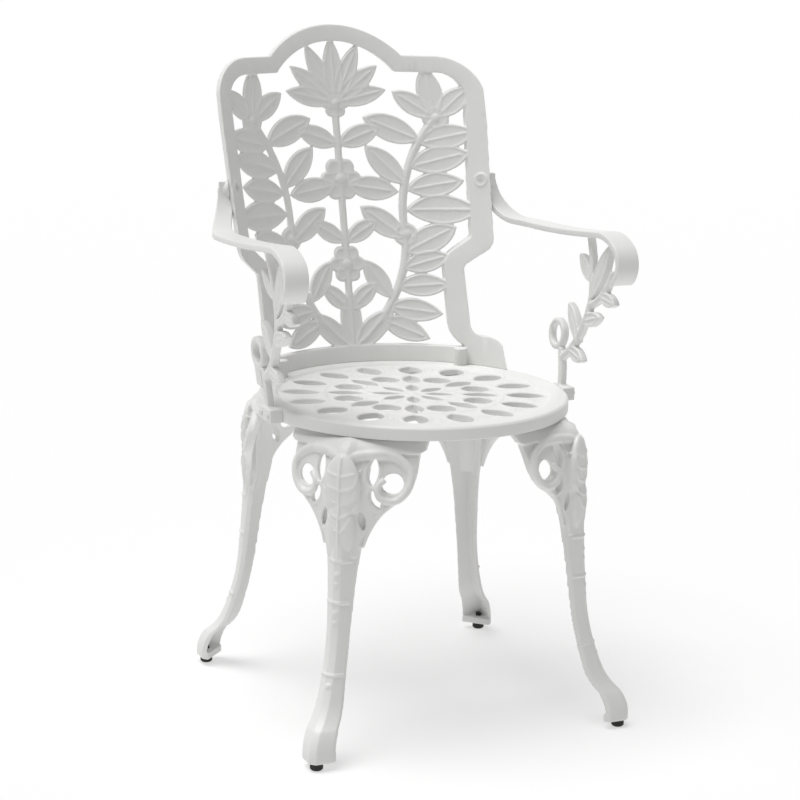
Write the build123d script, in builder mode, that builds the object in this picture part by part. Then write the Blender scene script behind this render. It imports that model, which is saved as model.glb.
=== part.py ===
from build123d import *
from math import cos, pi, sin, sqrt
import os

# Garden armchair of cast aluminium. Everything is drawn about the seat's axis and moved
# at the end so that the origin lies on the floor under the middle of the whole chair.
AXIS_Y = -53.5

# Seat
SEAT_TOP = 430.0
SEAT_RADIUS = 209.0
RIM_WIDTH = 27.0
RIM_DEPTH = 18.0
SEAT_PLATE = 8.0
SEAT_SINK = 3.0
RIM_BOTTOM = SEAT_TOP - RIM_DEPTH
FIELD_RADIUS = SEAT_RADIUS - RIM_WIDTH
PLATE_BOTTOM = SEAT_TOP - SEAT_SINK - SEAT_PLATE
LEAF_COUNT = 16
PATTERN = FIELD_RADIUS / 182
FLOWER_CIRCLE = 157.6 * PATTERN

# Back: a piece of a cone about the seat's axis
FOOT_SET_BACK = 4.0
BACK_FOOT_RADIUS = SEAT_RADIUS - FOOT_SET_BACK
BACK_LEAN = 0.25
WEB = 6.0
PROUD = 2.5
BORDER = 23.0
CREST_RISE = 43.0
CREST_HALF = 101.0
SHOULDER = 857.0
CREST_TOP = SHOULDER + CREST_RISE
SHOULDER_HALF = 204.0
BULGE_HALF = 191.0
BULGE_LOW = 596.0
WAIST_DROP = 30.0
WAIST_TOP = BULGE_LOW - WAIST_DROP
WAIST_HALF = 156.0
FLANGE_STEP = 28.0
FLANGE_HALF = WAIST_HALF + FLANGE_STEP
FLANGE_TOP = 471.0
STEM = 10.0
LEAF_SHAPE = 0.45

# Legs: a channel with its ridge on the diagonal and two knee wings
LEG_SHIFT = 6.0
LEG_WALL = 6.0
RIDGE_FLAT = 5.0
SHAFT_TURN = 45 * pi / 180
WING_TURN = 27 * pi / 180
WING_WALL = 7.0
FLANGE_PLATE = 8.0
SOLE_BOTTOM = 10.0
SOLE_TOP = 20.0

# Arms
STRAP_WIDTH = 32.0
STRAP_THICK = 8.0
STRAP_OUT = 22.0
STRAP_X = SEAT_RADIUS + STRAP_OUT
SUPPORT_THICK = 9.0
SUPPORT_X = SEAT_RADIUS + 4
SUPPORT_SLOPE = 0.082
BLOCK_OUT = SEAT_RADIUS + 13
BLOCK_Y = -26.0
BLOCK_LENGTH = 40.0

# Fasteners and pads
BOLT = 3.0
CLEAR = 3.3
CORNER_BOLT = SEAT_RADIUS - 16
WASHER_RADIUS = 6.0
WASHER_THICK = 1.6
HEAD_ACROSS = 10.0
HEAD_HIGH = 4.0
SMALL_BOLT = 2.5
PAD_RADIUS = 8.5
PAD_STEM = 4.0
PAD_SPOT = SEAT_RADIUS + 98
ARM_SCREW_X = 185.0
ARM_SCREW_Z = 687.0

os.makedirs("parts", exist_ok=True)


def save(part, name):
    placed = part.moved(Location((0, AXIS_Y, 0)))
    placed.label = name
    export_step(placed, "parts/" + name + ".step")


def back_radius(height):
    return BACK_FOOT_RADIUS + BACK_LEAN * (height - SEAT_TOP)


# Shapes drawn into the sketch that is open
def leaf(base, heading, length, width):
    along = Vector(cos(heading), sin(heading))
    across = Vector(-sin(heading), cos(heading))
    root = Vector(*base)
    tip = root + along * length
    belly = root + along * (0.45 * length)
    with BuildLine() as edge:
        ThreePointArc(root, belly + across * (width / 2), tip)
        ThreePointArc(tip, belly - across * (width / 2), root)
    make_face(edge.edges())


def flower(centre, radius, petals):
    with Locations(centre):
        Circle(0.5 * radius)
        with PolarLocations(0.62 * radius, petals):
            Circle(0.38 * radius)


def stem(start, middle, end, width):
    with BuildLine() as line:
        ThreePointArc(start, middle, end)
    trace(line.edges(), width)
    return line.edges()[0]


def ring(centre, radius, width):
    with Locations(centre):
        Circle(radius)
        Circle(radius - width, mode=Mode.SUBTRACT)


# Bolt places under the seat, four legs round the axis

def round_legs(along, across):
    spots = []
    for step in range(4):
        turn = (45 + 90 * step) * pi / 180
        x = along * cos(turn) - across * sin(turn)
        y = along * sin(turn) + across * cos(turn)
        spots.append((x, y + LEG_SHIFT))
    return spots


corner_spots = round_legs(CORNER_BOLT, 0)
WING_ALONG = FLOWER_CIRCLE * cos(pi / LEAF_COUNT)
WING_ACROSS = FLOWER_CIRCLE * sin(pi / LEAF_COUNT)
wing_spots = round_legs(WING_ALONG, WING_ACROSS) + round_legs(WING_ALONG, -WING_ACROSS)

# Back: the outline seen from the front, its field, and the pierced foliage in the field
with BuildSketch() as back_outline:
    with BuildLine() as half:
        Polyline(
            (0, SHOULDER),
            (SHOULDER_HALF, SHOULDER),
            (BULGE_HALF, BULGE_LOW),
            (WAIST_HALF, WAIST_TOP),
            (WAIST_HALF, FLANGE_TOP),
            (FLANGE_HALF, FLANGE_TOP),
            (FLANGE_HALF, SEAT_TOP),
            (0, SEAT_TOP),
            (0, SHOULDER),
        )
    make_face()
    fillet(back_outline.vertices().sort_by_distance((SHOULDER_HALF, SHOULDER))[0], 55)
    fillet(back_outline.vertices().sort_by_distance((BULGE_HALF, BULGE_LOW))[0], 30)
    fillet(back_outline.vertices().sort_by_distance((WAIST_HALF, WAIST_TOP))[0], 10)
    fillet(back_outline.vertices().sort_by_distance((WAIST_HALF, FLANGE_TOP))[0], 12)
    fillet(back_outline.vertices().sort_by_distance((FLANGE_HALF, FLANGE_TOP))[0], 11)
    mirror(about=Plane.YZ)
    with BuildLine() as crest:
        ThreePointArc((-CREST_HALF, SHOULDER), (0, CREST_TOP), (CREST_HALF, SHOULDER))
        Line((CREST_HALF, SHOULDER), (CREST_HALF, SHOULDER - 10))
        Line((CREST_HALF, SHOULDER - 10), (-CREST_HALF, SHOULDER - 10))
        Line((-CREST_HALF, SHOULDER - 10), (-CREST_HALF, SHOULDER))
    make_face()

with BuildSketch() as back_field:
    add(back_outline.sketch)
    offset(amount=-BORDER, kind=Kind.INTERSECTION)

with BuildSketch() as back_reach:
    add(back_outline.sketch)
    offset(amount=4 - BORDER, kind=Kind.INTERSECTION)

with BuildSketch() as foliage:
    # One side of the bush: two main stems and the leaves on them
    stem((2, 450), (62, 512), (88, 604), STEM)
    stem((88, 600), (96, 690), (140, 770), STEM)
    for root_x, root_z, heading, length in (
        (44, 488, -0.40, 70),
        (70, 532, 0.10, 70),
        (84, 580, 0.52, 80),
        (62, 516, 2.15, 66),
        (88, 600, 2.50, 76),
        (91, 640, 0.05, 92),
        (94, 676, 2.35, 76),
        (100, 700, 0.30, 82),
        (118, 738, 2.75, 84),
        (140, 770, 0.80, 64),
        (140, 770, 1.70, 72),
        (140, 770, 2.55, 66),
        (56, 505, -0.12, 72),
        (80, 558, 0.33, 66),
        (94, 668, 0.22, 76),
        (114, 734, 0.27, 76),
        (0, 502, 0.72, 56),
        (0, 596, 0.55, 58),
        (8, 676, -0.14, 76),
        (0, 732, 0.36, 68),
    ):
        leaf((root_x, root_z), heading, length, LEAF_SHAPE * length)
    with Locations((88, 606), (140, 770)):
        Circle(17)
    # Palmette under the crest, one side of it
    for turn in (0.45, 0.9, 1.33):
        leaf((0, 790), pi / 2 - turn, 98 - 14 * turn, 27)
    mirror(about=Plane.YZ)
    # Middle stem with its flowers, and the root leaves on the rail
    with Locations((0, 620)):
        Rectangle(STEM, 360)
    leaf((0, 786), pi / 2, 96, 29)
    for height, radius in ((566, 27), (684, 31), (790, 21)):
        flower((0, height), radius, 6)
    for turn in (-0.85, 0.0, 0.85):
        leaf((0, 446), pi / 2 + turn, 84, 32)

with BuildPart() as thin_cone:
    with BuildSketch(Plane.XZ):
        with BuildLine():
            Polyline(
                (back_radius(420), 420),
                (back_radius(420) + WEB, 420),
                (back_radius(910) + WEB, 910),
                (back_radius(910), 910),
                (back_radius(420), 420),
            )
        make_face()
    revolve(axis=Axis.Z, revolution_arc=180)

with BuildPart() as thick_cone:
    with BuildSketch(Plane.XZ):
        with BuildLine():
            Polyline(
                (back_radius(420) - PROUD, 420),
                (back_radius(420) + WEB + PROUD, 420),
                (back_radius(910) + WEB + PROUD, 910),
                (back_radius(910) - PROUD, 910),
                (back_radius(420) - PROUD, 420),
            )
        make_face()
    revolve(axis=Axis.Z, revolution_arc=180)

with BuildPart() as back_border:
    with BuildSketch(Plane.XZ):
        add(back_outline.sketch)
        add(back_field.sketch, mode=Mode.SUBTRACT)
    extrude(amount=-420)
    add(thick_cone.part, mode=Mode.INTERSECT)

with BuildPart() as back_web:
    with BuildSketch(Plane.XZ):
        add(foliage.sketch)
    extrude(amount=-420)
    add(thin_cone.part, mode=Mode.INTERSECT)
    with BuildSketch(Plane.XZ):
        add(back_reach.sketch)
    extrude(amount=-420, mode=Mode.INTERSECT)

# The arm screw runs along the cone's normal through the stile
screw_front = back_radius(ARM_SCREW_Z) - PROUD
screw_y = sqrt(screw_front**2 - ARM_SCREW_X**2)
screw_way = Vector(ARM_SCREW_X / screw_front, screw_y / screw_front, -BACK_LEAN)
screw_plane = Plane(origin=(ARM_SCREW_X, screw_y, ARM_SCREW_Z), z_dir=screw_way)
STILE = (WEB + 2 * PROUD) / sqrt(1 + BACK_LEAN**2)
TAB = 10.0

with BuildPart() as back_panel:
    add(back_border.part)
    add(back_web.part)
    # Half-round bosses in front of the rail, over the rear legs
    with BuildSketch(Plane.XY.offset(SEAT_TOP)):
        with Locations(corner_spots[0], corner_spots[1]):
            Circle(9.5)
    extrude(amount=24)
    with BuildSketch(Plane.XY.offset(SEAT_TOP)):
        with Locations(corner_spots[0], corner_spots[1]):
            Circle(BOLT)
    extrude(amount=18, mode=Mode.SUBTRACT)
    # Ring bosses and countersunk holes for the arm screws
    with BuildSketch(screw_plane.offset(-1.5)):
        Circle(10)
    extrude(amount=6)
    with BuildSketch(screw_plane.offset(-6)):
        Circle(CLEAR)
    extrude(amount=40, mode=Mode.SUBTRACT)
    with BuildSketch(screw_plane.offset(-1.5)):
        Circle(6.2)
    extrude(amount=3.1, taper=45, mode=Mode.SUBTRACT)
    with BuildSketch(Plane.XY.offset(380)):
        with Locations((100, 150)):
            Rectangle(200, 500)
    extrude(amount=560, mode=Mode.INTERSECT)
    mirror(about=Plane.YZ)

save(back_panel.part, "back_panel")

# Seat: raised rim round a pierced plate, bosses for the legs under it
ARM_SCREW_Y = (BLOCK_Y - 12, BLOCK_Y + 12)
ARM_SCREW_HIGH = SEAT_TOP - RIM_DEPTH / 2


def seat_leaf(out, turn, length, width):
    base = out * PATTERN
    leaf((base * cos(turn), base * sin(turn)), turn, length * PATTERN, width * PATTERN)


with BuildPart() as seat_plate:
    with BuildSketch(Plane.XY.offset(RIM_BOTTOM)):
        ring((0, 0), SEAT_RADIUS, RIM_WIDTH)
    extrude(amount=RIM_DEPTH)
    chamfer(seat_plate.edges().group_by(Axis.Z)[-1], 3)
    with BuildSketch(Plane.XY.offset(PLATE_BOTTOM)):
        Circle(FIELD_RADIUS + 2)
        with PolarLocations(93 * PATTERN, LEAF_COUNT // 2):
            Circle(19 * PATTERN, mode=Mode.SUBTRACT)
    extrude(amount=SEAT_PLATE)
    with BuildSketch(Plane.XY.offset(PLATE_BOTTOM)):
        for step in range(LEAF_COUNT):
            turn = step * 2 * pi / LEAF_COUNT
            seat_leaf(126, turn, 51, 32)
        for step in range(1, LEAF_COUNT, 2):
            turn = step * 2 * pi / LEAF_COUNT
            seat_leaf(66, turn, 50, 24)
            seat_leaf(16, turn, 40, 17)
    extrude(amount=SEAT_PLATE, mode=Mode.SUBTRACT)
    with BuildSketch(Plane.XY.offset(RIM_BOTTOM)):
        with Locations(*wing_spots):
            Circle(9)
    extrude(amount=PLATE_BOTTOM - RIM_BOTTOM + 2)
    with BuildSketch(Plane.XY.offset(RIM_BOTTOM)):
        with Locations(*wing_spots):
            Circle(BOLT)
    extrude(amount=11, mode=Mode.SUBTRACT)
    with BuildSketch(Plane.XY.offset(RIM_BOTTOM)):
        with Locations(corner_spots[2], corner_spots[3]):
            Circle(BOLT)
    extrude(amount=13, mode=Mode.SUBTRACT)
    with BuildSketch(Plane.XY.offset(RIM_BOTTOM)):
        with Locations(corner_spots[0], corner_spots[1]):
            Circle(CLEAR)
    extrude(amount=RIM_DEPTH, mode=Mode.SUBTRACT)
    for side in (1, -1):
        with BuildSketch(Plane.YZ.offset(side * (SEAT_RADIUS - 18))):
            with Locations((ARM_SCREW_Y[0], ARM_SCREW_HIGH), (ARM_SCREW_Y[1], ARM_SCREW_HIGH)):
                Circle(SMALL_BOLT)
        extrude(amount=side * 30, mode=Mode.SUBTRACT)

save(seat_plate.part, "seat_plate")


# Legs, drawn along +X with the ridge in the XZ plane, then turned to the corners
def under_ridge(shift, squeeze=1):
    def at(out, high):
        return (squeeze * (SEAT_RADIUS + out + shift), high)

    with BuildLine() as edge:
        ThreePointArc(at(-2, RIM_BOTTOM), at(17, RIM_BOTTOM - 5.5), at(27, RIM_BOTTOM - 17))
        Line(at(27, RIM_BOTTOM - 17), at(22, RIM_BOTTOM - 19))
        ThreePointArc(at(22, RIM_BOTTOM - 19), at(34, 362), at(38, 318))
        ThreePointArc(at(38, 318), at(40, 250), at(45, 185))
        ThreePointArc(at(45, 185), at(55, 125), at(73, 77))
        ThreePointArc(at(73, 77), at(84, 62), at(98, 50))
        ThreePointArc(at(98, 50), at(108.5, 32), at(110.6, SOLE_BOTTOM))
        Polyline(at(110.6, SOLE_BOTTOM), (20, SOLE_BOTTOM), (20, RIM_BOTTOM), at(-2, RIM_BOTTOM))
    return make_face(edge.edges())


# A leg's side is drawn in the plane square to it, with its depths squeezed to match
def side_plane(turn):
    return Plane(origin=(0, 0, 0), x_dir=(cos(turn), sin(turn), 0), z_dir=(sin(turn), -cos(turn), 0))


# Closed front of the leg: everything up to the ridge
with BuildPart() as leg_front:
    with BuildSketch(Plane.XZ):
        add(under_ridge(0))
    extrude(amount=120, both=True)

# Front view of the shaft, one half
with BuildPart() as shaft_view:
    with BuildSketch(Plane.YZ):
        with BuildLine():
            Polyline((0, SOLE_BOTTOM), (22, SOLE_BOTTOM), (21, 44))
            ThreePointArc((21, 44), (16.5, 90), (16.5, 195))
            ThreePointArc((16.5, 195), (20, 250), (27, 300))
            Polyline((27, 300), (28, RIM_BOTTOM), (0, RIM_BOTTOM), (0, SOLE_BOTTOM))
        make_face()
    extrude(amount=360)

with BuildPart() as leg_shaft:
    with BuildSketch(side_plane(SHAFT_TURN)):
        add(under_ridge(RIDGE_FLAT, cos(SHAFT_TURN)))
        add(under_ridge(RIDGE_FLAT - LEG_WALL / cos(SHAFT_TURN), cos(SHAFT_TURN)), mode=Mode.SUBTRACT)
    extrude(amount=340, both=True)
    add(leg_front.part, mode=Mode.INTERSECT)
    add(shaft_view.part, mode=Mode.INTERSECT)

# Front view of a knee wing: volute outline with its piercings
with BuildPart() as wing_view:
    with BuildSketch(Plane.YZ):
        with BuildLine():
            Polyline((0, RIM_BOTTOM), (92, RIM_BOTTOM), (92, 398), (84, 393), (84, 372))
            ThreePointArc((84, 372), (76, 345), (58, 328))
            ThreePointArc((58, 328), (36, 306), (20, 262))
            Polyline((20, 262), (0, 262), (0, RIM_BOTTOM))
        make_face()
        with Locations((58, 357)):
            Circle(13, mode=Mode.SUBTRACT)
    extrude(amount=360)
    with BuildSketch(Plane.YZ):
        leaf((35, 389), -pi / 2, 36, 12)
        leaf((45, 325), 1.95, 27, 11)
        leaf((28, 296), 1.75, 28, 8)
    extrude(amount=360, mode=Mode.SUBTRACT)

with BuildPart() as leg_wing:
    with BuildSketch(side_plane(WING_TURN)):
        add(under_ridge(-1, cos(WING_TURN)))
        add(under_ridge(-1 - WING_WALL / cos(WING_TURN), cos(WING_TURN)), mode=Mode.SUBTRACT)
    extrude(amount=200, both=True)
    add(wing_view.part, mode=Mode.INTERSECT)

with BuildPart() as leg:
    add(leg_shaft.part)
    add(leg_wing.part)
    mirror(about=Plane.XZ)
    # Flange under the seat with three bolt holes, sole with the hole for the pad
    with BuildSketch(Plane.XY.offset(RIM_BOTTOM - FLANGE_PLATE)):
        with BuildLine():
            Polyline(
                (SEAT_RADIUS - 5, 0),
                (SEAT_RADIUS - 43, 76),
                (SEAT_RADIUS - 69, 46),
                (SEAT_RADIUS - 69, -46),
                (SEAT_RADIUS - 43, -76),
                (SEAT_RADIUS - 5, 0),
            )
        make_face()
    extrude(amount=FLANGE_PLATE)
    with BuildSketch(Plane.XY.offset(RIM_BOTTOM - FLANGE_PLATE)):
        with Locations((CORNER_BOLT, 0), (WING_ALONG, WING_ACROSS), (WING_ALONG, -WING_ACROSS)):
            Circle(CLEAR)
    extrude(amount=FLANGE_PLATE, mode=Mode.SUBTRACT)
    with BuildSketch(Plane.XY.offset(SOLE_BOTTOM)):
        with BuildLine():
            Polyline(
                (PAD_SPOT + 9, 7),
                (PAD_SPOT - 4, 20),
                (PAD_SPOT - 14, 21),
                (PAD_SPOT - 14, -21),
                (PAD_SPOT - 4, -20),
                (PAD_SPOT + 9, -7),
                (PAD_SPOT + 9, 7),
            )
        make_face()
    extrude(amount=SOLE_TOP - SOLE_BOTTOM)
    with BuildSketch(Plane.XY.offset(SOLE_BOTTOM)):
        with Locations((PAD_SPOT, 0)):
            Circle(PAD_STEM)
    extrude(amount=SOLE_TOP, mode=Mode.SUBTRACT)

leg_names = ["rear_left_leg", "rear_right_leg", "front_right_leg", "front_left_leg"]
for step in range(4):
    turned = leg.part.rotate(Axis.Z, 45 + 90 * step)
    save(turned.moved(Location((0, LEG_SHIFT, 0))), leg_names[step])

# Arms: strap drawn in side view and in plan, openwork support under it, block on the rim
with BuildPart() as strap:
    with BuildSketch(Plane.YZ):
        with BuildLine() as side_line:
            rear = JernArc((BACK_FOOT_RADIUS - 6, ARM_SCREW_Z + 9), (0, -1), 62, -90)
            dip = TangentArc(rear @ 1, (30, 637), tangent=rear % 1)
            rise = TangentArc(dip @ 1, (-97, 648), tangent=dip % 1)
            droop = JernArc(rise @ 1, rise % 1, 75, 39)
            JernArc(droop @ 1, droop % 1, 27, 120)
        trace(side_line.edges(), STRAP_THICK)
    extrude(amount=300)
    with BuildSketch(Plane.XY.offset(540)):
        inner = STRAP_X - STRAP_WIDTH / 2
        outer = STRAP_X + STRAP_WIDTH / 2
        with BuildLine():
            bend = BACK_FOOT_RADIUS - 105
            end_out = (ARM_SCREW_X + 18, BACK_FOOT_RADIUS)
            end_in = (ARM_SCREW_X - 9, BACK_FOOT_RADIUS + 10)
            Polyline((inner, bend), (inner, -200), (outer, -200), (outer, bend))
            ThreePointArc((outer, bend), (STRAP_X + 4, BACK_FOOT_RADIUS - 57), end_out)
            Polyline(end_out, (ARM_SCREW_X + 5, BACK_FOOT_RADIUS + 20), end_in)
            ThreePointArc(end_in, (STRAP_X - 28, BACK_FOOT_RADIUS - 45), (inner, bend))
        make_face()
    extrude(amount=200, mode=Mode.INTERSECT)

support_plane = Plane(
    origin=(SUPPORT_X, 0, RIM_BOTTOM + RIM_DEPTH / 2), x_dir=(0, 1, 0), z_dir=(1, 0, -SUPPORT_SLOPE)
)

with BuildPart() as support:
    with BuildSketch(support_plane):
        # Stem with a ring at the back, leaf fan under the strap
        stem((-23, 0), (-20, 30), (-12, 58), 10)
        ring((2, 76), 22, 8)
        stem((-16, 46), (-54, 78), (-80, 134), 10)
        leaf((-34, 62), 3.35, 46, 19)
        leaf((-60, 74), 0.95, 62, 21)
        leaf((-64, 104), 2.85, 50, 20)
        stem((-80, 130), (-76, 176), (-58, 222), 9)
        stem((-80, 130), (-108, 146), (-130, 182), 9)
        leaf((-80, 136), 2.02, 90, 26)
        leaf((-77, 160), 0.75, 50, 19)
        leaf((-104, 146), 3.25, 44, 18)
    extrude(amount=SUPPORT_THICK / 2, both=True)

with BuildPart() as left_arm:
    add(strap.part)
    add(support.part)
    with BuildSketch(Plane.XY.offset(RIM_BOTTOM)):
        with Locations(((SEAT_RADIUS + BLOCK_OUT) / 2 - 6, BLOCK_Y)):
            Rectangle(BLOCK_OUT - SEAT_RADIUS + 12, BLOCK_LENGTH)
        Circle(SEAT_RADIUS, mode=Mode.SUBTRACT)
    extrude(amount=RIM_DEPTH)
    # Tab behind the stile, and a flat for the washer
    with BuildSketch(screw_plane.offset(STILE - 4)):
        Circle(13)
    extrude(amount=TAB + 4)
    with BuildSketch(screw_plane.offset(STILE + TAB)):
        Circle(11)
    extrude(amount=30, mode=Mode.SUBTRACT)
    add(back_border.part, mode=Mode.SUBTRACT)
    with BuildSketch(screw_plane):
        Circle(CLEAR)
    extrude(amount=40, mode=Mode.SUBTRACT)
    with BuildSketch(Plane.YZ.offset(SEAT_RADIUS - 12)):
        with Locations((ARM_SCREW_Y[0], ARM_SCREW_HIGH), (ARM_SCREW_Y[1], ARM_SCREW_HIGH)):
            Circle(SMALL_BOLT + 0.2)
    extrude(amount=40, mode=Mode.SUBTRACT)

with BuildPart() as right_arm:
    mirror(left_arm.part, about=Plane.YZ)

save(left_arm.part, "left_arm")
save(right_arm.part, "right_arm")

# Foot pads, plugged into the soles
pad_names = ["rear_left_foot", "rear_right_foot", "front_right_foot", "front_left_foot"]
with BuildPart() as pad:
    with BuildSketch():
        with Locations((PAD_SPOT, 0)):
            Circle(PAD_RADIUS)
    extrude(amount=SOLE_BOTTOM)
    chamfer(pad.edges().group_by(Axis.Z)[0], 2)
    with BuildSketch(Plane.XY.offset(SOLE_BOTTOM)):
        with Locations((PAD_SPOT, 0)):
            Circle(PAD_STEM)
    extrude(amount=SOLE_TOP - SOLE_BOTTOM + 4)
for step in range(4):
    turned = pad.part.rotate(Axis.Z, 45 + 90 * step)
    save(turned.moved(Location((0, LEG_SHIFT, 0))), pad_names[step])


# Leg bolts and washers under the flange plates
FLANGE_UNDER = RIM_BOTTOM - FLANGE_PLATE


def washer_set(spots):
    with BuildSketch(Plane.XY.offset(FLANGE_UNDER - WASHER_THICK)) as discs:
        with Locations(*spots):
            Circle(WASHER_RADIUS)
        with Locations(*spots):
            Circle(CLEAR, mode=Mode.SUBTRACT)
    extrude(discs.sketch, amount=WASHER_THICK)


def bolt_set(spots, reach):
    with BuildSketch(Plane.XY.offset(FLANGE_UNDER - WASHER_THICK - HEAD_HIGH)) as heads:
        with Locations(*spots):
            RegularPolygon(HEAD_ACROSS / 2, 6, major_radius=False)
    extrude(heads.sketch, amount=HEAD_HIGH)
    with BuildSketch(Plane.XY.offset(FLANGE_UNDER - WASHER_THICK)) as shanks:
        with Locations(*spots):
            Circle(BOLT)
    extrude(shanks.sketch, amount=reach - FLANGE_UNDER + WASHER_THICK)


with BuildPart() as corner_washers:
    washer_set(corner_spots)
save(corner_washers.part, "corner_washers")

with BuildPart() as wing_washers:
    washer_set(wing_spots)
save(wing_washers.part, "wing_washers")

with BuildPart() as front_corner_bolts:
    bolt_set(corner_spots[2:], RIM_BOTTOM + 12)
save(front_corner_bolts.part, "front_corner_bolts")

with BuildPart() as rear_corner_bolts:
    bolt_set(corner_spots[:2], SEAT_TOP + 16)
save(rear_corner_bolts.part, "rear_corner_bolts")

with BuildPart() as leg_wing_bolts:
    bolt_set(wing_spots, RIM_BOTTOM + 10)
save(leg_wing_bolts.part, "leg_wing_bolts")

# Arm screws: countersunk through the stile, nut and washer behind, pan heads on the rim
with BuildPart() as arm_back_screws:
    with BuildSketch(screw_plane.offset(-1)):
        Circle(5.6)
    extrude(amount=2.6, taper=45)
    with BuildSketch(screw_plane.offset(-0.5)):
        Circle(BOLT)
    extrude(amount=STILE + TAB + WASHER_THICK + 7)
    with BuildSketch(screw_plane.offset(-1)):
        Rectangle(8, 1.2)
        Rectangle(1.2, 8)
    extrude(amount=1, mode=Mode.SUBTRACT)
    mirror(about=Plane.YZ)
save(arm_back_screws.part, "arm_back_screws")

with BuildPart() as arm_back_washers:
    with BuildSketch(screw_plane.offset(STILE + TAB)):
        Circle(WASHER_RADIUS)
        Circle(CLEAR, mode=Mode.SUBTRACT)
    extrude(amount=WASHER_THICK)
    mirror(about=Plane.YZ)
save(arm_back_washers.part, "arm_back_washers")

with BuildPart() as arm_back_nuts:
    with BuildSketch(screw_plane.offset(STILE + TAB + WASHER_THICK)):
        RegularPolygon(HEAD_ACROSS / 2, 6, major_radius=False)
        Circle(BOLT, mode=Mode.SUBTRACT)
    extrude(amount=5)
    mirror(about=Plane.YZ)
save(arm_back_nuts.part, "arm_back_nuts")

with BuildPart() as arm_seat_screws:
    with BuildSketch(Plane.YZ.offset(BLOCK_OUT)):
        with Locations((ARM_SCREW_Y[0], ARM_SCREW_HIGH), (ARM_SCREW_Y[1], ARM_SCREW_HIGH)):
            Circle(4.5)
    extrude(amount=2.6)
    chamfer(arm_seat_screws.edges().group_by(Axis.X)[-1], 1)
    with BuildSketch(Plane.YZ.offset(BLOCK_OUT)):
        with Locations((ARM_SCREW_Y[0], ARM_SCREW_HIGH), (ARM_SCREW_Y[1], ARM_SCREW_HIGH)):
            Circle(SMALL_BOLT)
    extrude(amount=-30)
    mirror(about=Plane.YZ)
save(arm_seat_screws.part, "arm_seat_screws")
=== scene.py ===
import math
import bmesh
import bpy
from mathutils import Matrix, Vector


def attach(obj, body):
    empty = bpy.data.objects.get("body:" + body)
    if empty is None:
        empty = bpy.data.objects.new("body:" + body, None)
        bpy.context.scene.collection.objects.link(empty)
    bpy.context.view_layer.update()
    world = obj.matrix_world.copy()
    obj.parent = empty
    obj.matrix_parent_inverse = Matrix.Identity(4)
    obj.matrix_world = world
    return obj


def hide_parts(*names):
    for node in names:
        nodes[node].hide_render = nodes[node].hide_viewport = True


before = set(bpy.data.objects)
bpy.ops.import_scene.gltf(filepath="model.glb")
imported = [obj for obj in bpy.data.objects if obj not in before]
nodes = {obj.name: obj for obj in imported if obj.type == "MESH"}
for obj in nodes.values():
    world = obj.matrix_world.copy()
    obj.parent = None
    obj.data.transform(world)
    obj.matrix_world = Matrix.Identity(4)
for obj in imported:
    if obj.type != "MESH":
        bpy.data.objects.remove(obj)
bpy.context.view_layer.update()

# Powder coat: every casting is sand-cast aluminium with a white satin powder coat.
# The coat lies thick and slightly pebbled, has painted shade greying it a little in the hollows,
# and is rubbed or chipped to a darker tone here and there along the edges.


def new_group(name, inputs, outputs):
    group = bpy.data.node_groups.new(name, "ShaderNodeTree")
    for label, kind, value in inputs:
        socket = group.interface.new_socket(label, in_out="INPUT", socket_type=kind)
        socket.default_value = value
    for label, kind in outputs:
        group.interface.new_socket(label, in_out="OUTPUT", socket_type=kind)
    return group, group.nodes.new("NodeGroupInput"), group.nodes.new("NodeGroupOutput")


def node(tree, kind, **settings):
    made = tree.nodes.new(kind)
    for key, value in settings.items():
        setattr(made, key, value)
    return made


def coat_surface_group():
    group, inside, outside = new_group(
        "coat_surface",
        [("Pebble Scale", "NodeSocketFloat", 900.0), ("Sand Scale", "NodeSocketFloat", 160.0)],
        [("Height", "NodeSocketFloat")],
    )
    place = node(group, "ShaderNodeTexCoord")
    pebble = node(group, "ShaderNodeTexNoise")
    pebble.inputs["Detail"].default_value = 2.0
    sand = node(group, "ShaderNodeTexNoise")
    sand.inputs["Detail"].default_value = 4.0
    mix = node(group, "ShaderNodeMath", operation="MULTIPLY_ADD")
    mix.inputs[1].default_value = 0.35
    links = group.links
    links.new(place.outputs["Object"], pebble.inputs["Vector"])
    links.new(place.outputs["Object"], sand.inputs["Vector"])
    links.new(inside.outputs["Pebble Scale"], pebble.inputs["Scale"])
    links.new(inside.outputs["Sand Scale"], sand.inputs["Scale"])
    links.new(pebble.outputs["Fac"], mix.inputs[0])
    links.new(sand.outputs["Fac"], mix.inputs[2])
    links.new(mix.outputs[0], outside.inputs["Height"])
    return group


def edge_wear_group():
    group, inside, outside = new_group(
        "edge_wear",
        [("Scale", "NodeSocketFloat", 40.0), ("Amount", "NodeSocketFloat", 0.5)],
        [("Mask", "NodeSocketFloat")],
    )
    place = node(group, "ShaderNodeTexCoord")
    shape = node(group, "ShaderNodeNewGeometry")
    edge = node(group, "ShaderNodeMapRange")
    edge.inputs["From Min"].default_value = 0.54
    edge.inputs["From Max"].default_value = 0.64
    patch = node(group, "ShaderNodeTexNoise")
    patch.inputs["Detail"].default_value = 6.0
    cut = node(group, "ShaderNodeMapRange")
    cut.inputs["From Min"].default_value = 0.60
    cut.inputs["From Max"].default_value = 0.68
    both = node(group, "ShaderNodeMath", operation="MULTIPLY")
    level = node(group, "ShaderNodeMath", operation="MULTIPLY")
    links = group.links
    links.new(shape.outputs["Pointiness"], edge.inputs["Value"])
    links.new(place.outputs["Object"], patch.inputs["Vector"])
    links.new(inside.outputs["Scale"], patch.inputs["Scale"])
    links.new(patch.outputs["Fac"], cut.inputs["Value"])
    links.new(edge.outputs["Result"], both.inputs[0])
    links.new(cut.outputs["Result"], both.inputs[1])
    links.new(both.outputs[0], level.inputs[0])
    links.new(inside.outputs["Amount"], level.inputs[1])
    links.new(level.outputs[0], outside.inputs["Mask"])
    return group


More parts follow.
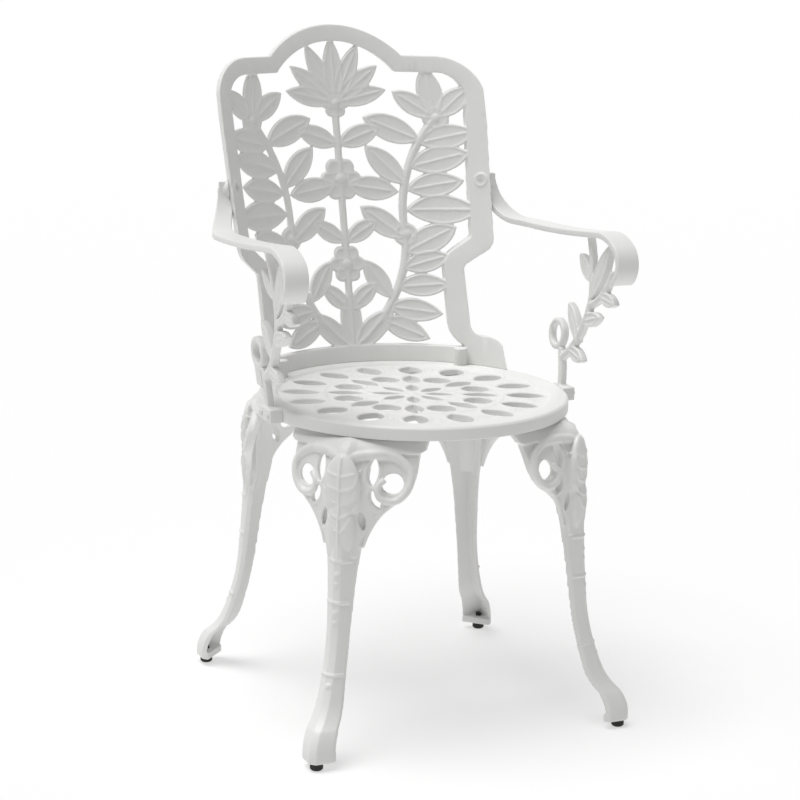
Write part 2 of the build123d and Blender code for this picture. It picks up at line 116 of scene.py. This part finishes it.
def coat_tone_group():
    group, inside, outside = new_group(
        "coat_tone",
        [
            ("Clean", "NodeSocketColor", (0.80, 0.80, 0.785, 1.0)),
            ("Hollow Shade", "NodeSocketColor", (0.66, 0.66, 0.645, 1.0)),
            ("Worn", "NodeSocketColor", (0.36, 0.355, 0.35, 1.0)),
            ("Wear", "NodeSocketFloat", 0.0),
        ],
        [("Color", "NodeSocketColor"), ("Roughness", "NodeSocketFloat")],
    )
    place = node(group, "ShaderNodeTexCoord")
    cloud = node(group, "ShaderNodeTexNoise")
    cloud.inputs["Scale"].default_value = 9.0
    cloud.inputs["Detail"].default_value = 4.0
    shape = node(group, "ShaderNodeNewGeometry")
    # Painted shade: where the surface is hollow (low pointiness) the colour is mixed towards a
    # grey, in clouds.
    hollow_shade = node(group, "ShaderNodeMapRange")
    hollow_shade.inputs["From Min"].default_value = 0.49
    hollow_shade.inputs["From Max"].default_value = 0.38
    shade_share = node(group, "ShaderNodeMath", operation="MULTIPLY")
    tone = node(group, "ShaderNodeMix", data_type="RGBA")
    worn = node(group, "ShaderNodeMix", data_type="RGBA")
    rough = node(group, "ShaderNodeMapRange")
    rough.inputs["To Min"].default_value = 0.36
    rough.inputs["To Max"].default_value = 0.50
    links = group.links
    links.new(place.outputs["Object"], cloud.inputs["Vector"])
    links.new(shape.outputs["Pointiness"], hollow_shade.inputs["Value"])
    links.new(cloud.outputs["Fac"], shade_share.inputs[0])
    links.new(hollow_shade.outputs["Result"], shade_share.inputs[1])
    links.new(shade_share.outputs[0], tone.inputs["Factor"])
    links.new(inside.outputs["Clean"], tone.inputs["A"])
    links.new(inside.outputs["Hollow Shade"], tone.inputs["B"])
    links.new(inside.outputs["Wear"], worn.inputs["Factor"])
    links.new(tone.outputs["Result"], worn.inputs["A"])
    links.new(inside.outputs["Worn"], worn.inputs["B"])
    links.new(cloud.outputs["Fac"], rough.inputs["Value"])
    links.new(worn.outputs["Result"], outside.inputs["Color"])
    links.new(rough.outputs["Result"], outside.inputs["Roughness"])
    return group


coat_surface = coat_surface_group()
edge_wear = edge_wear_group()
coat_tone = coat_tone_group()


def white_coat_material():
    material = bpy.data.materials.new("white_powder_coat")
    material.use_nodes = True
    tree = material.node_tree
    shader = tree.nodes["Principled BSDF"]
    shader.inputs["IOR"].default_value = 1.5
    shader.inputs["Specular IOR Level"].default_value = 0.45
    wear = node(tree, "ShaderNodeGroup", node_tree=edge_wear)
    wear.inputs["Scale"].default_value = 55.0
    wear.inputs["Amount"].default_value = 0.55
    tone = node(tree, "ShaderNodeGroup", node_tree=coat_tone)
    surface = node(tree, "ShaderNodeGroup", node_tree=coat_surface)
    bump = node(tree, "ShaderNodeBump")
    bump.inputs["Strength"].default_value = 0.16
    bump.inputs["Distance"].default_value = 0.0006
    links = tree.links
    links.new(wear.outputs["Mask"], tone.inputs["Wear"])
    links.new(tone.outputs["Color"], shader.inputs["Base Color"])
    links.new(tone.outputs["Roughness"], shader.inputs["Roughness"])
    links.new(surface.outputs["Height"], bump.inputs["Height"])
    links.new(bump.outputs["Normal"], shader.inputs["Normal"])
    return material


white_coat = white_coat_material()

# Seat: one round sand casting, a flat plate with leaf and round piercings inside a thick rim.
# Fine raised lines run round the piercings, and small rosettes stand between the outer
# leaves, some of them over the bolts of the legs' flanges.
millimetre = 0.001
seat_axis_y = -0.0535
skin_voxel = 0.0011
soft_rounds = 3
plate_top = 427.0
line_sink = 0.3
bead_sink = 0.5
leaf_count = 16
outer_leaf = (126, 51, 32)
middle_leaf = (66, 50, 24)
inner_leaf = (16, 40, 17)
hole_circle = 93
hole_line_radius = 22.3
flower_circle = 157.6
petal_circle = 7.6


def sweep(shape, path, radii, sides=8):
    side = None
    rings = []
    for step, point in enumerate(path):
        ahead = path[min(step + 1, len(path) - 1)] - path[max(step - 1, 0)]
        ahead.normalize()
        if side is None:
            side = ahead.orthogonal()
        side = (side - ahead * side.dot(ahead)).normalized()
        other = ahead.cross(side)
        ring = []
        for corner in range(sides):
            turn = 2 * math.pi * corner / sides
            away = side * math.cos(turn) + other * math.sin(turn)
            ring.append(shape.verts.new(point + away * radii[step]))
        rings.append(ring)
    for first, second in zip(rings, rings[1:]):
        for corner in range(sides):
            after = (corner + 1) % sides
            shape.faces.new((first[corner], first[after], second[after], second[corner]))
    shape.faces.new(rings[0][::-1])
    shape.faces.new(rings[-1])


def line(shape, path, thick):
    sweep(shape, path, [thick] * len(path), 6)


def dome(shape, place, out, width, height):
    turned = Vector(out).to_track_quat("Z", "Y").to_matrix().to_4x4()
    sized = Matrix.Diagonal((width, width, height, 1.0))
    where = Matrix.Translation(place) @ turned @ sized
    bmesh.ops.create_uvsphere(shape, u_segments=20, v_segments=10, radius=1.0, matrix=where)


def arc_through(start, middle, end, steps):
    ax, ay = start
    bx, by = middle
    cx, cy = end
    double = 2 * (ax * (by - cy) + bx * (cy - ay) + cx * (ay - by))
    a2, b2, c2 = ax * ax + ay * ay, bx * bx + by * by, cx * cx + cy * cy
    ox = (a2 * (by - cy) + b2 * (cy - ay) + c2 * (ay - by)) / double
    oy = (a2 * (cx - bx) + b2 * (ax - cx) + c2 * (bx - ax)) / double
    radius = math.hypot(ax - ox, ay - oy)
    first = math.atan2(ay - oy, ax - ox)
    by_middle = (math.atan2(by - oy, bx - ox) - first) % (2 * math.pi)
    sweep_turn = (math.atan2(cy - oy, cx - ox) - first) % (2 * math.pi)
    if by_middle > sweep_turn:
        sweep_turn -= 2 * math.pi
    turns = [first + sweep_turn * step / steps for step in range(steps + 1)]
    return [(ox + radius * math.cos(turn), oy + radius * math.sin(turn)) for turn in turns]


def leaf_edge(base, heading, length, width, inset):
    along = Vector((math.cos(heading), math.sin(heading)))
    across = Vector((-math.sin(heading), math.cos(heading)))
    root = Vector(base) + along * (1.6 * inset)
    tip = Vector(base) + along * (length - 1.6 * inset)
    belly = Vector(base) + along * (0.45 * length)
    reach = across * (width / 2 - inset)
    near = arc_through(root, belly + reach, tip, 14)
    far = arc_through(tip, belly - reach, root, 14)
    return near + far[1:]


def leaf_axis(base, heading, start, end):
    along = Vector((math.cos(heading), math.sin(heading)))
    return [Vector(base) + along * (start + (end - start) * step / 8) for step in range(9)]


def cast(name, node_name, relief, faces):
    bmesh.ops.scale(relief, vec=(millimetre, millimetre, millimetre), verts=relief.verts)
    bmesh.ops.translate(relief, vec=(0, seat_axis_y, 0), verts=relief.verts)
    relief.from_mesh(nodes[node_name].data)
    rough = bpy.data.meshes.new(name + "_rough")
    relief.to_mesh(rough)
    relief.free()
    piece = bpy.data.objects.new(name, rough)
    bpy.context.scene.collection.objects.link(piece)
    skin = piece.modifiers.new("skin", "REMESH")
    skin.mode = "VOXEL"
    skin.voxel_size = skin_voxel
    soft = piece.modifiers.new("soft", "SMOOTH")
    soft.factor = 0.5
    soft.iterations = soft_rounds
    graph = bpy.context.evaluated_depsgraph_get()
    fine = bpy.data.meshes.new_from_object(piece.evaluated_get(graph))
    piece.modifiers.clear()
    piece.data = fine
    thin = piece.modifiers.new("thin", "DECIMATE")
    thin.ratio = min(1.0, faces / (2 * len(fine.polygons)))
    graph = bpy.context.evaluated_depsgraph_get()
    light = bpy.data.meshes.new_from_object(piece.evaluated_get(graph))
    piece.modifiers.clear()
    piece.data = light
    light.name = name
    light.shade_smooth()
    light.materials.clear()
    light.materials.append(white_coat)
    bpy.data.meshes.remove(fine)
    bpy.data.meshes.remove(rough)
    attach(piece, "root")
    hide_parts(node_name)


def on_seat(points):
    return [Vector((x, y, plate_top - line_sink)) for x, y in points]


def seat_bead(shape, x, y, width, height):
    dome(shape, (x, y, plate_top - bead_sink), (0, 0, 1), width, height)


def seat_leaf(shape, turn, leaf, inset, thick):
    out, length, width = leaf
    base = Vector((math.cos(turn), math.sin(turn))) * out
    line(shape, on_seat(leaf_edge(base, turn, length, width, inset)), thick)


def seat_ring(centre, radius):
    turns = [2 * math.pi * step / 48 for step in range(49)]
    x, y = centre
    return on_seat([(x + radius * math.cos(turn), y + radius * math.sin(turn)) for turn in turns])


relief = bmesh.new()
for step in range(leaf_count):
    turn = 2 * math.pi * step / leaf_count
    way = Vector((math.cos(turn), math.sin(turn)))
    seat_leaf(relief, turn, outer_leaf, -3.2, 1.5)
    half = turn + math.pi / leaf_count
    flower = Vector((math.cos(half), math.sin(half))) * flower_circle
    seat_bead(relief, flower.x, flower.y, 4.0, 2.6)
    for petal in range(6):
        lean = half + petal * math.pi / 3
        petal_x = flower.x + petal_circle * math.cos(lean)
        petal_y = flower.y + petal_circle * math.sin(lean)
        seat_bead(relief, petal_x, petal_y, 3.4, 1.9)
    if step % 2:
        seat_leaf(relief, turn, middle_leaf, -3.0, 1.4)
        seat_leaf(relief, turn, inner_leaf, -2.6, 1.3)
    else:
        line(relief, seat_ring(way * hole_circle, hole_line_radius), 1.4)
        line(relief, on_seat(leaf_axis(way * 40, turn, 0, 28)), 1.5)
for ring_radius in (11.5, 121.0):
    line(relief, seat_ring((0, 0), ring_radius), 1.6)
seat_bead(relief, 0, 0, 7.0, 3.0)
cast("seat_casting", "seat_plate", relief, 130000)

# Legs: four like castings, a channel with a rounded ridge that swells into a pierced knee.
# A scroll of round bar curls on each wing of the knee, a leaf shield covers its ridge, and
# small collars and studs mark the shaft. Three bolts hold each leg up under the seat.
leg_shift = 6.0
wing_slope = math.tan(math.radians(27))
ridge_flat = 5.0
ridge_arcs = (
    ((207, 412), (226, 406.5), (236, 395)),
    ((231, 393), (243, 362), (247, 318)),
    ((247, 318), (249, 250), (254, 185)),
    ((254, 185), (264, 125), (282, 77)),
    ((282, 77), (293, 62), (307, 50)),
    ((307, 50), (317.5, 32), (319.6, 10)),
)
ridge_points = [point for arc in ridge_arcs for point in arc_through(*arc, 12)]
shields = ((350, 10, 25, 45), (302, 10, 19, 42))
shield_sink = 8
scroll = (
    (1, 388),
    (18, 392),
    (40, 394),
    (62, 388),
    (78, 372),
    (77, 351),
    (64, 336),
    (47, 339),
    (42, 353),
    (50, 363),
)
strap = ((60, 334), (47, 321), (38, 307), (31, 291), (26, 274))
wing_leaves = (((35, 389), -math.pi / 2, 36, 12), ((45, 325), 1.95, 27, 11))
vein_heights = (382, 364, 346, 328, 310)
collar_heights = (258, 204, 112)
studs = ((240, 4.6), (228, 3.4), (190, 4.6), (178, 3.4), (98, 4.6))


def ridge(height):
    for (out_a, high), (out_b, low) in zip(ridge_points, ridge_points[1:]):
        if low <= height <= high and high > low:
            return out_b + (out_a - out_b) * (height - low) / (high - low)
    return ridge_points[0][0]


def knee_front(across, height):
    out = max(ridge(height) - 1 - wing_slope * abs(across), 0)
    for middle, deep, wide, tall in shields:
        inside = 1 - (across / wide) ** 2 - ((height - middle) / tall) ** 2
        if inside > 0:
            out = max(out, ridge(middle) - shield_sink + deep * math.sqrt(inside))
    return out


def on_wing(points, lift, side):
    return [Vector((knee_front(t, z) + lift, side * t, z)) for t, z in points]


def smooth_way(corners, steps):
    points = []
    for step in range(len(corners) - 1):
        a = Vector(corners[max(step - 1, 0)])
        b = Vector(corners[step])
        c = Vector(corners[step + 1])
        d = Vector(corners[min(step + 2, len(corners) - 1)])
        for part in range(steps):
            u = part / steps
            near = 2 * b + (c - a) * u + (2 * a - 5 * b + 4 * c - d) * u * u
            points.append((near + (3 * b - a - 3 * c + d) * u**3) / 2)
    points.append(Vector(corners[-1]))
    return points


def taper(way, start, change):
    return [start + change * step / (len(way) - 1) for step in range(len(way))]


def wing_bar(shape, way, sink, thick, side, sides):
    path = []
    for (t, z), low in zip(way, sink):
        path.append(Vector((ridge(z) - low - wing_slope * t, side * t, z)))
    sweep(shape, path, thick, sides)


def leg_relief():
    shape = bmesh.new()
    for middle, deep, wide, tall in shields:
        centre = Matrix.Translation((ridge(middle) - shield_sink, 0, middle))
        where = centre @ Matrix.Diagonal((deep, wide, tall, 1))
        bmesh.ops.create_uvsphere(shape, u_segments=40, v_segments=24, radius=1.0, matrix=where)
    scroll_way = smooth_way(scroll, 8)
    strap_way = smooth_way(strap, 6)
    for side in (1, -1):
        wing_bar(shape, scroll_way, [0] * len(scroll_way), taper(scroll_way, 7.0, -3.2), side, 12)
        wing_bar(shape, strap_way, taper(strap_way, 2, 4), taper(strap_way, 5.0, -3.0), side, 10)
        for base, heading, length, width in wing_leaves:
            line(shape, on_wing(leaf_edge(base, heading, length, width, -2.6), 0.2, side), 1.5)
        for height in vein_heights:
            reach = 0.36 * (height - 262)
            vein_middle = (0.5 * reach, height - 8)
            vein_end = (0.9 * min(reach, 24), height + 6)
            vein = smooth_way(((1, height - 14), vein_middle, vein_end), 5)
            line(shape, on_wing(vein, 0.2, side), 1.4)
    line(shape, on_wing([(0, 392 - 4 * step) for step in range(34)], 0.4, 1), 1.9)
    for height in collar_heights:
        collar = []
        for step in range(-6, 7):
            t = 2.6 * step
            out = min(ridge(height), ridge(height) + ridge_flat - abs(t))
            collar.append(Vector((out - 0.4, t, height)))
        line(shape, collar, 2.3)
    for height, wide in studs:
        dome(shape, (ridge(height) - 0.6, 0, height), (1, 0, 0.05), wide, 2.4)
    return shape


for place, name in enumerate(("rear_left", "rear_right", "front_right", "front_left")):
    relief = leg_relief()
    turn = Matrix.Rotation(math.radians(45 + 90 * place), 4, "Z")
    where = Matrix.Translation((0, leg_shift, 0)) @ turn
    bmesh.ops.transform(relief, matrix=where, verts=relief.verts)
    cast(name + "_leg_casting", name + "_leg", relief, 60000)

# Back: one pierced casting bent to the curve of the seat, leaning outwards as it rises.
# A smooth border frames a bush of leaves and flowers; raised lines edge each leaf and petal.
# It stands on the seat's rim on two bosses that the rear corner bolts pull down.
foot_radius = 205.0
back_lean = 0.25
web = 6.0
leaf_shape = 0.45
side_leaves = (
    (44, 488, -0.40, 70),
    (70, 532, 0.10, 70),
    (84, 580, 0.52, 80),
    (62, 516, 2.15, 66),
    (88, 600, 2.50, 76),
    (91, 640, 0.05, 92),
    (94, 676, 2.35, 76),
    (100, 700, 0.30, 82),
    (118, 738, 2.75, 84),
    (140, 770, 0.80, 64),
    (140, 770, 1.70, 72),
    (140, 770, 2.55, 66),
    (56, 505, -0.12, 72),
    (80, 558, 0.33, 66),
    (94, 668, 0.22, 76),
    (114, 734, 0.27, 76),
    (0, 502, 0.72, 56),
    (0, 596, 0.55, 58),
    (8, 676, -0.14, 76),
    (0, 732, 0.36, 68),
)
fan_leaves = [((0, 790), math.pi / 2 - turn, 98 - 14 * turn, 27) for turn in (0.45, 0.9, 1.33)]
fan_leaves.append(((0, 446), math.pi / 2 - 0.85, 84, 32))
middle_leaves = (((0, 786), math.pi / 2, 96, 29), ((0, 446), math.pi / 2, 84, 32))
flowers = ((566, 27), (684, 31), (790, 21))
main_stems = (((2, 450), (62, 512), (88, 604)), ((88, 600), (96, 690), (140, 770)))
buds = ((88, 606), (140, 770))
seat_top = 430


def on_back(points, lift, side, rear):
    placed = []
    for x, z in points:
        radius = foot_radius + back_lean * (z - seat_top) + (web + lift if rear else -lift)
        placed.append(Vector((side * x, math.sqrt(radius * radius - x * x), z)))
    return placed


def round_way(x, z, radius):
    turns = [2 * math.pi * step / 32 for step in range(33)]
    return [(x + radius * math.cos(turn), z + radius * math.sin(turn)) for turn in turns]


def back_bead(shape, x, z, wide, tall, side, rear):
    place = on_back([(x, z)], -0.4, side, rear)[0]
    out = Vector((place.x, place.y, -back_lean * place.y)) * (1 if rear else -1)
    dome(shape, place, out, wide, tall)


def back_leaf(shape, leaf, side, rear):
    base, heading, length, width = leaf
    edge = leaf_edge(base, heading, length, width, 2.0)
    line(shape, on_back(edge, -0.2, side, rear), 1.5)
    vein = leaf_axis(base, heading, 8, 0.86 * length)
    line(shape, on_back(vein, -0.1, side, rear), 1.6)


bush = [((x, z), heading, size, leaf_shape * size) for x, z, heading, size in side_leaves]
relief = bmesh.new()
for rear in (False, True):
    for side in (1, -1):
        for leaf in bush + fan_leaves:
            back_leaf(relief, leaf, side, rear)
        for stem in main_stems:
            line(relief, on_back(arc_through(*stem, 24), -2.6, side, rear), 4.6)
        for x, z in buds:
            line(relief, on_back(round_way(x, z, 13.5), -0.2, side, rear), 1.5)
            back_bead(relief, x, z, 7.0, 3.4, side, rear)
    for leaf in middle_leaves:
        back_leaf(relief, leaf, 1, rear)
    line(relief, on_back([(0, 450 + 17 * step) for step in range(20)], -2.6, 1, rear), 4.6)
    for height, radius in flowers:
        back_bead(relief, 0, height, 0.30 * radius, 4.0, 1, rear)
        for petal in range(6):
            turn = petal * math.pi / 3
            petal_x = 0.62 * radius * math.cos(turn)
            petal_z = height + 0.62 * radius * math.sin(turn)
            line(relief, on_back(round_way(petal_x, petal_z, 0.27 * radius), -0.2, 1, rear), 1.4)
cast("back_casting", "back_panel", relief, 190000)

# Arms: a flat bent strap with a scrolled nose, carried by an openwork leaf spray in one casting.
# A tab behind the back's stile takes one screw, and the block at the rim takes two.
support_out = 213.0
support_foot = 421.0
support_half = 4.5
support_slope = 0.082
sprays = (
    ((-34, 62), 3.35, 46, 19),
    ((-60, 74), 0.95, 62, 21),
    ((-64, 104), 2.85, 50, 20),
    ((-80, 136), 2.02, 90, 26),
    ((-77, 160), 0.75, 50, 19),
    ((-104, 146), 3.25, 44, 18),
)
spray_stems = (
    ((-23, 0), (-20, 30), (-12, 58)),
    ((-16, 46), (-54, 78), (-80, 134)),
    ((-80, 130), (-76, 176), (-58, 222)),
    ((-80, 130), (-108, 146), (-130, 182)),
)


def on_support(points, lift, side, face):
    long_side = math.hypot(1, support_slope)
    up = Vector((support_slope, 0, 1)) / long_side
    out = Vector((1, 0, -support_slope)) / long_side
    corner = Vector((support_out, 0, support_foot))
    placed = []
    for u, v in points:
        spot = corner + Vector((0, u, 0)) + up * v + out * face * (support_half + lift)
        placed.append(Vector((side * spot.x, spot.y, spot.z)))
    return placed


for side, name in ((1, "left_arm"), (-1, "right_arm")):
    relief = bmesh.new()
    for face in (1, -1):
        for base, heading, length, width in sprays:
            edge = leaf_edge(base, heading, length, width, 1.6)
            line(relief, on_support(edge, -0.2, side, face), 1.4)
            vein = leaf_axis(base, heading, 4, 0.84 * length)
            line(relief, on_support(vein, -0.1, side, face), 1.5)
        for stem in spray_stems:
            line(relief, on_support(arc_through(*stem, 16), -2.4, side, face), 4.0)
        line(relief, on_support(round_way(2, 76, 18), -2.0, side, face), 3.4)
    cast(name + "_casting", name, relief, 60000)

# Fasteners: zinc plated hexagon bolts, washers and nuts, unpainted, seen from below and behind.
# The plating is dull and cloudy, with patches of finer polish.


def zinc_material():
    material = bpy.data.materials.new("zinc_plating")
    material.use_nodes = True
    tree = material.node_tree
    shader = tree.nodes["Principled BSDF"]
    shader.inputs["Metallic"].default_value = 1.0
    place = node(tree, "ShaderNodeTexCoord")
    cloud = node(tree, "ShaderNodeTexNoise")
    cloud.inputs["Scale"].default_value = 260.0
    cloud.inputs["Detail"].default_value = 5.0
    tone = node(tree, "ShaderNodeMix", data_type="RGBA")
    tone.inputs["A"].default_value = (0.70, 0.70, 0.68, 1)
    tone.inputs["B"].default_value = (0.50, 0.50, 0.49, 1)
    rough = node(tree, "ShaderNodeMapRange")
    rough.inputs["To Min"].default_value = 0.28
    rough.inputs["To Max"].default_value = 0.50
    grain = node(tree, "ShaderNodeTexNoise")
    grain.inputs["Scale"].default_value = 1800.0
    bump = node(tree, "ShaderNodeBump")
    bump.inputs["Strength"].default_value = 0.1
    bump.inputs["Distance"].default_value = 0.0002
    links = tree.links
    links.new(place.outputs["Object"], cloud.inputs["Vector"])
    links.new(place.outputs["Object"], grain.inputs["Vector"])
    links.new(cloud.outputs["Fac"], tone.inputs["Factor"])
    links.new(cloud.outputs["Fac"], rough.inputs["Value"])
    links.new(tone.outputs["Result"], shader.inputs["Base Color"])
    links.new(rough.outputs["Result"], shader.inputs["Roughness"])
    links.new(grain.outputs["Fac"], bump.inputs["Height"])
    links.new(bump.outputs["Normal"], shader.inputs["Normal"])
    return material


def dress(names, material):
    for name in names:
        nodes[name].data.materials.clear()
        nodes[name].data.materials.append(material)


dress(
    (
        "front_corner_bolts",
        "rear_corner_bolts",
        "leg_wing_bolts",
        "corner_washers",
        "wing_washers",
        "arm_back_washers",
        "arm_back_nuts",
    ),
    zinc_material(),
)

# Arm screws: countersunk and pan heads coated white like the castings, driven in after them.
# The driver has rubbed the coat thin, so their edges show more of the metal.


def screw_coat_material():
    material = bpy.data.materials.new("screw_coat")
    material.use_nodes = True
    tree = material.node_tree
    shader = tree.nodes["Principled BSDF"]
    shader.inputs["Specular IOR Level"].default_value = 0.5
    wear = node(tree, "ShaderNodeGroup", node_tree=edge_wear)
    wear.inputs["Scale"].default_value = 300.0
    wear.inputs["Amount"].default_value = 0.8
    # Its tone also carries the painted shade that greys the hollows.
    tone = node(tree, "ShaderNodeGroup", node_tree=coat_tone)
    tone.inputs["Clean"].default_value = (0.74, 0.74, 0.735, 1.0)
    surface = node(tree, "ShaderNodeGroup", node_tree=coat_surface)
    surface.inputs["Pebble Scale"].default_value = 1400.0
    bump = node(tree, "ShaderNodeBump")
    bump.inputs["Strength"].default_value = 0.12
    bump.inputs["Distance"].default_value = 0.0004
    links = tree.links
    links.new(wear.outputs["Mask"], tone.inputs["Wear"])
    links.new(tone.outputs["Color"], shader.inputs["Base Color"])
    links.new(tone.outputs["Roughness"], shader.inputs["Roughness"])
    links.new(surface.outputs["Height"], bump.inputs["Height"])
    links.new(bump.outputs["Normal"], shader.inputs["Normal"])
    return material


dress(("arm_back_screws", "arm_seat_screws"), screw_coat_material())

# Foot pads: moulded black rubber buttons, each pushed by its stem into the hole in a sole.
# They are matt and a little dusty.


def rubber_material():
    material = bpy.data.materials.new("black_rubber")
    material.use_nodes = True
    tree = material.node_tree
    shader = tree.nodes["Principled BSDF"]
    shader.inputs["Specular IOR Level"].default_value = 0.3
    place = node(tree, "ShaderNodeTexCoord")
    dust = node(tree, "ShaderNodeTexNoise")
    dust.inputs["Scale"].default_value = 140.0
    dust.inputs["Detail"].default_value = 6.0
    tone = node(tree, "ShaderNodeMix", data_type="RGBA")
    tone.inputs["A"].default_value = (0.012, 0.012, 0.012, 1)
    tone.inputs["B"].default_value = (0.045, 0.044, 0.042, 1)
    rough = node(tree, "ShaderNodeMapRange")
    rough.inputs["To Min"].default_value = 0.55
    rough.inputs["To Max"].default_value = 0.85
    bump = node(tree, "ShaderNodeBump")
    bump.inputs["Strength"].default_value = 0.2
    bump.inputs["Distance"].default_value = 0.0004
    links = tree.links
    links.new(place.outputs["Object"], dust.inputs["Vector"])
    links.new(dust.outputs["Fac"], tone.inputs["Factor"])
    links.new(dust.outputs["Fac"], rough.inputs["Value"])
    links.new(tone.outputs["Result"], shader.inputs["Base Color"])
    links.new(rough.outputs["Result"], shader.inputs["Roughness"])
    links.new(dust.outputs["Fac"], bump.inputs["Height"])
    links.new(bump.outputs["Normal"], shader.inputs["Normal"])
    return material


pad_names = ("front_left_foot", "front_right_foot", "rear_left_foot", "rear_right_foot")
dress(pad_names, rubber_material())

# Camera: the photograph's view, from the front and a little to the left of the chair.
# A long lens at about three metres, tilted slightly as the picture is.
picture_side = 800.0
focal_pixels = 2185.18
centre_x = 413.016
centre_y = 400.48
target = Vector((0.0, seat_axis_y, 0.4175))
spot = Vector((-1.1773, -2.6221 + seat_axis_y, 1.0681))
roll = math.radians(1.2924)
forward = (target - spot).normalized()
right = forward.cross(Vector((0, 0, 1))).normalized()
up = right.cross(forward)
rolled_right = right * math.cos(roll) + up * math.sin(roll)
rolled_up = rolled_right.cross(forward)
lens = bpy.data.cameras.new("photo_camera")
lens.sensor_width = 36.0
lens.lens = focal_pixels * lens.sensor_width / picture_side
lens.shift_x = -(centre_x - picture_side / 2) / picture_side
lens.shift_y = (centre_y - picture_side / 2) / picture_side
camera = bpy.data.objects.new("photo_camera", lens)
camera.matrix_world = Matrix(
    (
        (rolled_right.x, rolled_up.x, -forward.x, spot.x),
        (rolled_right.y, rolled_up.y, -forward.y, spot.y),
        (rolled_right.z, rolled_up.z, -forward.z, spot.z),
        (0, 0, 0, 1),
    )
)
bpy.context.scene.collection.objects.link(camera)
bpy.context.scene.camera = camera

# Studio: a plain pale floor that glows a little, as one lit from around the set does, so that
# the chair keeps only a faint soft shadow on it. It runs on into a white surround, and one
# broad soft lamp stands high at the left and a little behind.
floor_half = 30
key_way = Vector((0.27, -0.06, -0.96))
floor_mesh = bpy.data.meshes.new("studio_floor")
floor_corners = [
    (-floor_half, -floor_half, 0),
    (floor_half, -floor_half, 0),
    (floor_half, floor_half, 0),
    (-floor_half, floor_half, 0),
]
floor_mesh.from_pydata(floor_corners, [], [(0, 1, 2, 3)])
floor = bpy.data.objects.new("studio_floor", floor_mesh)
bpy.context.scene.collection.objects.link(floor)


def seen_directly(tree):
    path = node(tree, "ShaderNodeLightPath")
    first = node(tree, "ShaderNodeMath", operation="MAXIMUM")
    both = node(tree, "ShaderNodeMath", operation="MAXIMUM")
    tree.links.new(path.outputs["Is Camera Ray"], first.inputs[0])
    tree.links.new(path.outputs["Is Glossy Ray"], first.inputs[1])
    tree.links.new(first.outputs[0], both.inputs[0])
    tree.links.new(path.outputs["Is Transmission Ray"], both.inputs[1])
    return both.outputs[0]


floor_paint = bpy.data.materials.new("studio_floor")
floor_paint.use_nodes = True
tree = floor_paint.node_tree
paint = tree.nodes["Principled BSDF"]
paint.inputs["Base Color"].default_value = (0.45, 0.45, 0.45, 1)
paint.inputs["Roughness"].default_value = 0.9
paint.inputs["Specular IOR Level"].default_value = 0.1
paint.inputs["Emission Color"].default_value = (1, 1, 1, 1)
paint.inputs["Emission Strength"].default_value = 0.53
floor_mesh.materials.append(floor_paint)

world = bpy.data.worlds.new("studio")
world.use_nodes = True
bpy.context.scene.world = world
tree = world.node_tree
surround = tree.nodes["Background"]
surround.inputs["Color"].default_value = (1, 1, 1, 1)
surround.inputs["Strength"].default_value = 0.20
backdrop = node(tree, "ShaderNodeBackground")
backdrop.inputs["Color"].default_value = (1, 1, 1, 1)
backdrop.inputs["Strength"].default_value = 1.0
pick = node(tree, "ShaderNodeMixShader")
tree.links.new(seen_directly(tree), pick.inputs[0])
tree.links.new(surround.outputs[0], pick.inputs[1])
tree.links.new(backdrop.outputs[0], pick.inputs[2])
tree.links.new(pick.outputs[0], tree.nodes["World Output"].inputs["Surface"])

key = bpy.data.lights.new("key_light", "SUN")
key.energy = 2.6
key.angle = math.radians(40)
key_holder = bpy.data.objects.new("key_light", key)
key_holder.rotation_euler = key_way.to_track_quat("-Z", "Y").to_euler()
bpy.context.scene.collection.objects.link(key_holder)
bpy.context.scene.view_settings.view_transform = "Standard"
